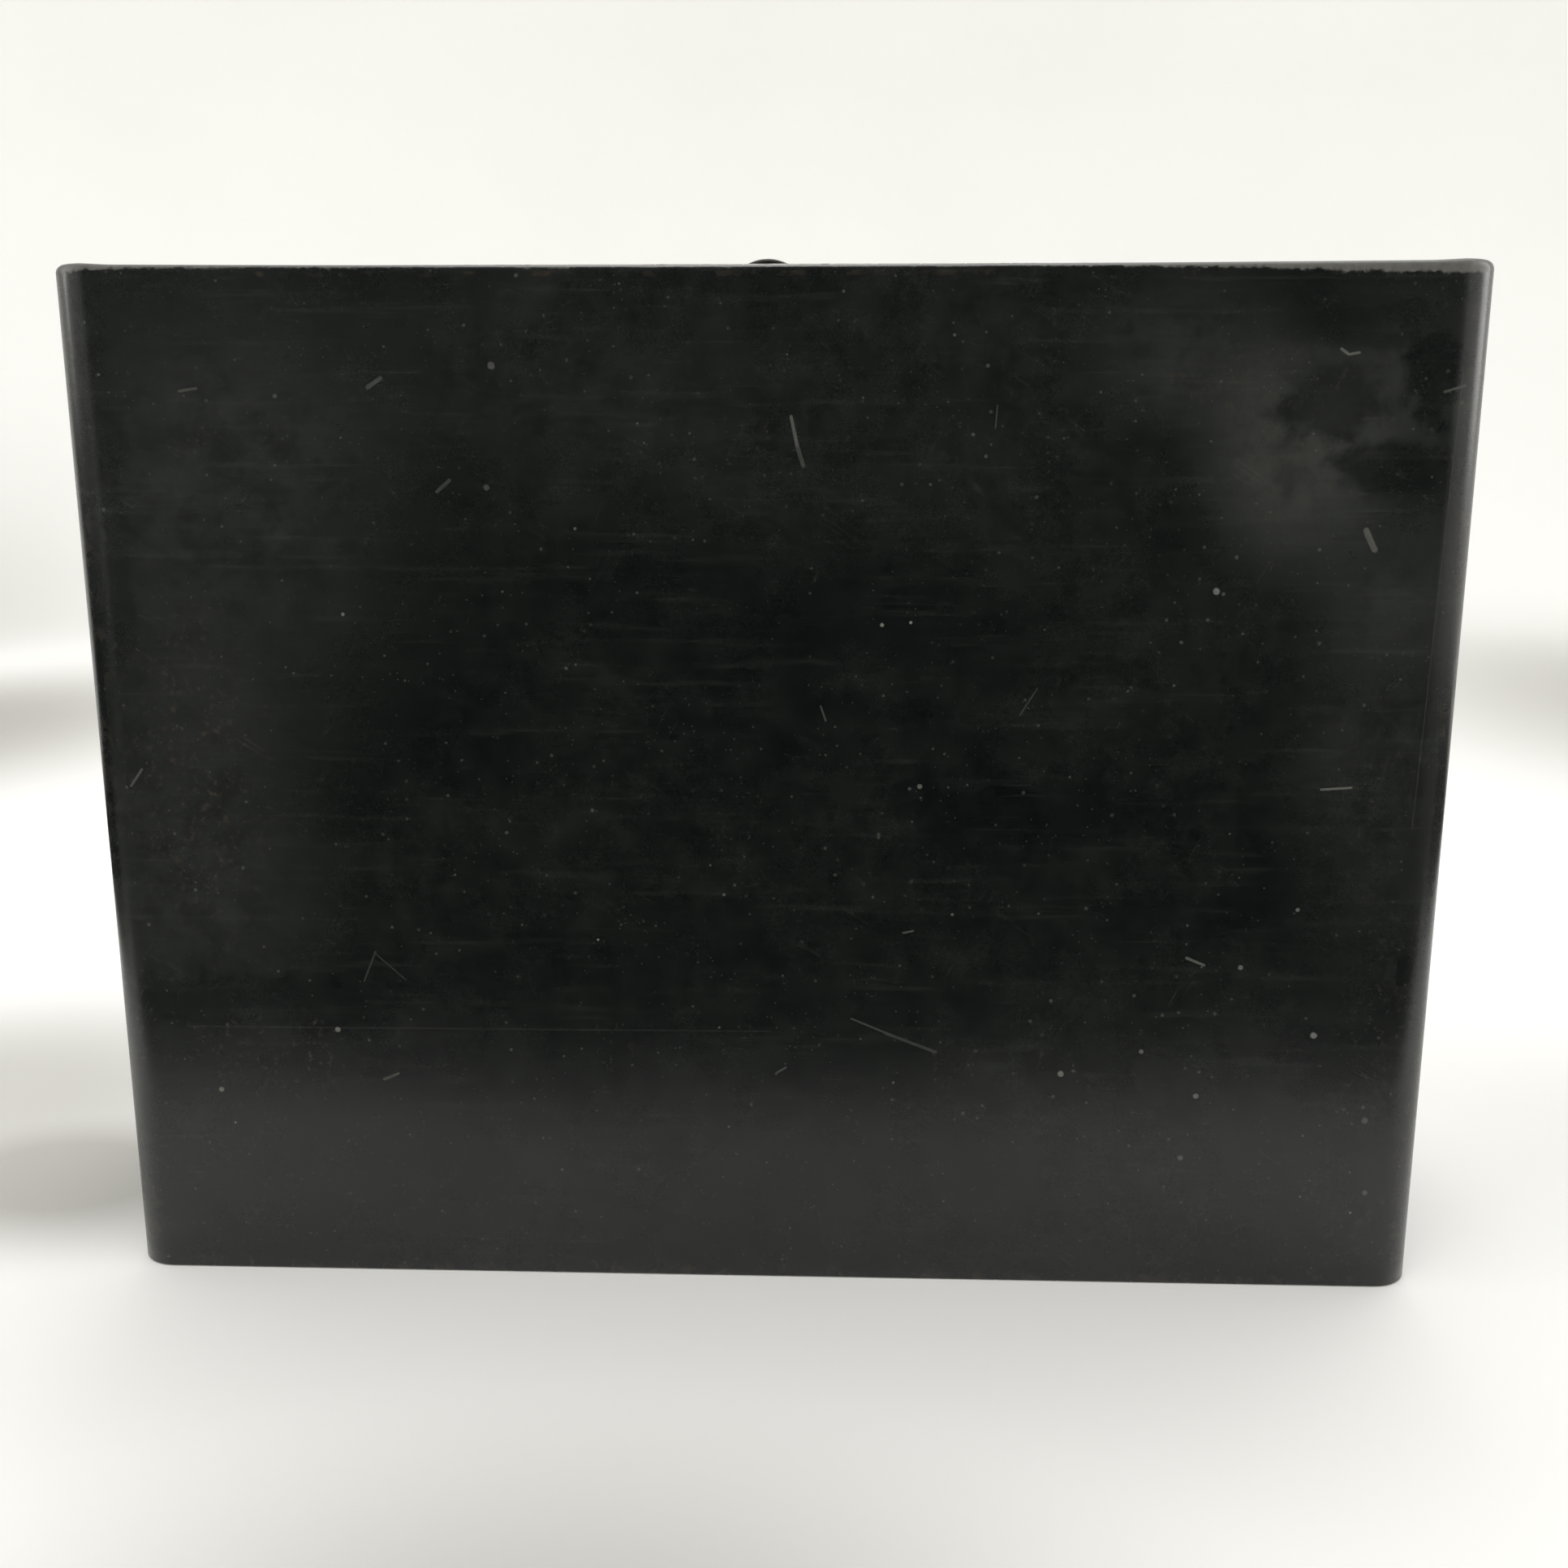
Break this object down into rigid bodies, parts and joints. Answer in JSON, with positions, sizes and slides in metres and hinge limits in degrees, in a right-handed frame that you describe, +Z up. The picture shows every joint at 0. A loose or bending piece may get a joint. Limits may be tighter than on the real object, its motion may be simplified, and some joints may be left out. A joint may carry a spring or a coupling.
{
  "type": "archive box",
  "caption": "Upright sheet-steel archive box with rounded corners, an inset top lid on a piano hinge, a thumb-turn latch, and a label holder and drop pull on one end.",
  "frame": {"origin": "middle of the flat base, on the surface the box stands on", "axes": "+X along the length away from the labelled end, +Y from the hinge side towards the latch side, +Z up"},
  "size_m": [0.3379, 0.1, 0.2581],
  "materials": {
    "black_enamel": "semi-gloss black enamel, worn and rust-speckled at the edges",
    "hinge_steel": "dull bare steel, darkened by age",
    "latch_lacquer": "black lacquer rubbed through at the edges",
    "nickel_plate": "satin nickel plate, tarnished",
    "bright_steel": "plain zinc-plated steel",
    "rubber": "matt black rubber",
    "card_stock": "blank cream card, slightly aged"
  },
  "bodies": {
    "case": {"case_shell": "black_enamel", "base_pan": "black_enamel", "seam_strip": "black_enamel", "end_ledge_left": "black_enamel", "end_ledge_right": "black_enamel", "ledge_rivets": "black_enamel", "lid_bumpers": "rubber", "hinge_leaf_case": "hinge_steel", "hinge_pin": "hinge_steel", "hinge_rivets_case": "hinge_steel", "strike_plate": "black_enamel", "strike_rivets": "bright_steel", "label_holder": "nickel_plate", "label_holder_rivets": "nickel_plate", "pull_plate": "nickel_plate", "pull_rivets": "nickel_plate"},
    "lid": {"lid_panel": "black_enamel", "hinge_leaf_lid": "hinge_steel", "hinge_rivets_lid": "hinge_steel", "latch_rose": "latch_lacquer", "rose_rivets": "latch_lacquer"},
    "latch": {"thumb_turn": "latch_lacquer", "latch_washer": "bright_steel", "spring_washer": "bright_steel", "latch_sleeve": "bright_steel", "latch_cam": "bright_steel", "latch_nut": "bright_steel"},
    "pull": {"pull_bail": "nickel_plate"},
    "card": {"label_card": "card_stock"}
  },
  "joints": [
    {"name": "lid_hinge", "type": "hinge", "parent": "case", "child": "lid", "pos_m": [0, -0.037, 0.249], "axis": [1, 0, 0], "range_deg": [0, 135]},
    {"name": "latch_turn", "type": "hinge", "parent": "lid", "child": "latch", "pos_m": [-0.0022, 0.027, 0.25], "axis": [0, 0, 1], "range_deg": [0, 90]},
    {"name": "pull_swing", "type": "hinge", "parent": "case", "child": "pull", "pos_m": [-0.1686, 0, 0.105], "axis": [0, 1, 0], "range_deg": [0, 95]},
    {"name": "card_slide", "type": "slide", "parent": "case", "child": "card", "axis": [0, 0, 1], "range_m": [0, 0.05]}
  ]
}
